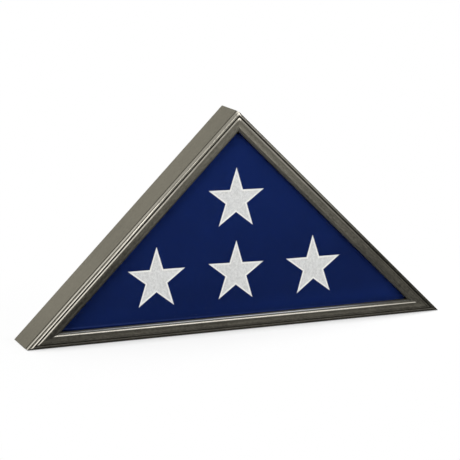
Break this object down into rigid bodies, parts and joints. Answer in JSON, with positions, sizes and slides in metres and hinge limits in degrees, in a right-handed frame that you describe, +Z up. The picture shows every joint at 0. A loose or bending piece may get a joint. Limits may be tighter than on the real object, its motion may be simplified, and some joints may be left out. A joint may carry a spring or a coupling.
{
  "type": "folded flag display case",
  "caption": "Triangular wall or shelf case with a beaded metallic moulding, glass front and lift-out back, holding a folded blue flag with white stars.",
  "frame": {"origin": "on the base, under the middle of the mouldings' depth and half way along the long side", "axes": "+X to the right seen from the front, +Y to the back, +Z up"},
  "size_m": [0.64, 0.0753, 0.32],
  "materials": {
    "moulding": "satin gunmetal metallic lacquer over wood",
    "glass": "clear float glass",
    "liner": "matt black stain",
    "board": "black-faced hardboard",
    "lining": "black felt",
    "flag_cloth": "plain-woven cotton",
    "star_cloth": "white cotton with a stitched edge",
    "zinc_steel": "bright zinc plate"
  },
  "bodies": {
    "case": {"bottom_rail": "moulding", "left_rail": "moulding", "right_rail": "moulding", "front_glass": "glass", "bottom_liner": "liner", "left_liner": "liner", "right_liner": "liner", "corner_wedge_nails": "zinc_steel", "liner_brads": "zinc_steel", "turn_button_screws": "zinc_steel", "folded_flag": "flag_cloth", "flag_stars": "star_cloth"},
    "back": {"back_panel": "board", "panel_lining": "lining", "sawtooth_hanger": "zinc_steel", "hanger_pins": "zinc_steel"},
    "button_left": {"turn_button_left": "zinc_steel"},
    "button_right": {"turn_button_right": "zinc_steel"},
    "button_base_left": {"turn_button_base_left": "zinc_steel"},
    "button_base_right": {"turn_button_base_right": "zinc_steel"}
  },
  "joints": [
    {"name": "back_slide", "type": "slide", "parent": "case", "child": "back", "axis": [0, 1, 0], "range_m": [0, 0.08]},
    {"name": "button_left_turn", "type": "hinge", "parent": "case", "child": "button_left", "pos_m": [-0.14743, 0.0361, 0.16337], "axis": [0, -1, 0], "range_deg": [0, 180]},
    {"name": "button_right_turn", "type": "hinge", "parent": "case", "child": "button_right", "pos_m": [0.14743, 0.0361, 0.16337], "axis": [0, 1, 0], "range_deg": [0, 180]},
    {"name": "button_base_left_turn", "type": "hinge", "parent": "case", "child": "button_base_left", "pos_m": [-0.15, 0.0361, 0.0065], "axis": [0, -1, 0], "range_deg": [0, 180]},
    {"name": "button_base_right_turn", "type": "hinge", "parent": "case", "child": "button_base_right", "pos_m": [0.15, 0.0361, 0.0065], "axis": [0, 1, 0], "range_deg": [0, 180]}
  ]
}
